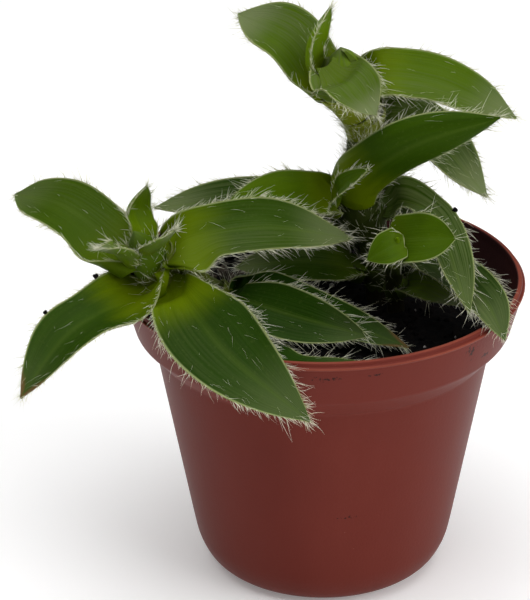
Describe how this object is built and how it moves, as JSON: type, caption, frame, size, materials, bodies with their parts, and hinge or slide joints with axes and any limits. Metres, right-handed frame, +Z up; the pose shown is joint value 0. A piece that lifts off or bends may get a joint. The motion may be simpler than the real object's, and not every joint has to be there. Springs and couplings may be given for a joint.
{
  "type": "potted cyanotis",
  "caption": "Young potted cyanotis with fleshy, hairy, boat-shaped green leaves on short clasped stems, in a small terracotta-coloured plastic nursery pot of dark soil",
  "frame": {"origin": "centre of the pot's flat base, on the surface that it stands on", "axes": "+Z up along the pot's axis; the picture looks along +Y and down, with +X to its right"},
  "size_m": [0.0703, 0.0603, 0.0806],
  "materials": {
    "terracotta_plastic": "satin",
    "potting_soil": "matte",
    "stem_green": "matte",
    "leaf_green": "satin"
  },
  "bodies": {
    "root": {"pot": "terracotta_plastic", "soil": "potting_soil", "main_stem": "stem_green", "left_stem": "stem_green", "side_stem": "stem_green", "left_leaf_back": "leaf_green", "left_leaf_outer": "leaf_green", "left_leaf_front": "leaf_green", "left_leaf_inner": "leaf_green", "left_leaf_young": "leaf_green", "left_leaf_small": "leaf_green", "left_leaf_smaller": "leaf_green", "left_leaf_low": "leaf_green", "left_leaf_long": "leaf_green", "left_leaf_lowest": "leaf_green", "mid_leaf_right": "leaf_green", "mid_leaf_left": "leaf_green", "mid_leaf_back": "leaf_green", "mid_leaf_young": "leaf_green", "mid_leaf_drooping": "leaf_green", "mid_leaf_rear": "leaf_green", "top_leaf_left": "leaf_green", "top_leaf_young": "leaf_green", "top_leaf_front": "leaf_green", "top_leaf_right": "leaf_green", "top_leaf_drooping": "leaf_green", "top_leaf_rear": "leaf_green", "low_leaf_left": "leaf_green", "low_leaf_rear": "leaf_green", "rim_leaf_right": "leaf_green", "low_leaf_right": "leaf_green", "side_leaf_right": "leaf_green", "side_leaf_left": "leaf_green"}
  },
  "joints": []
}
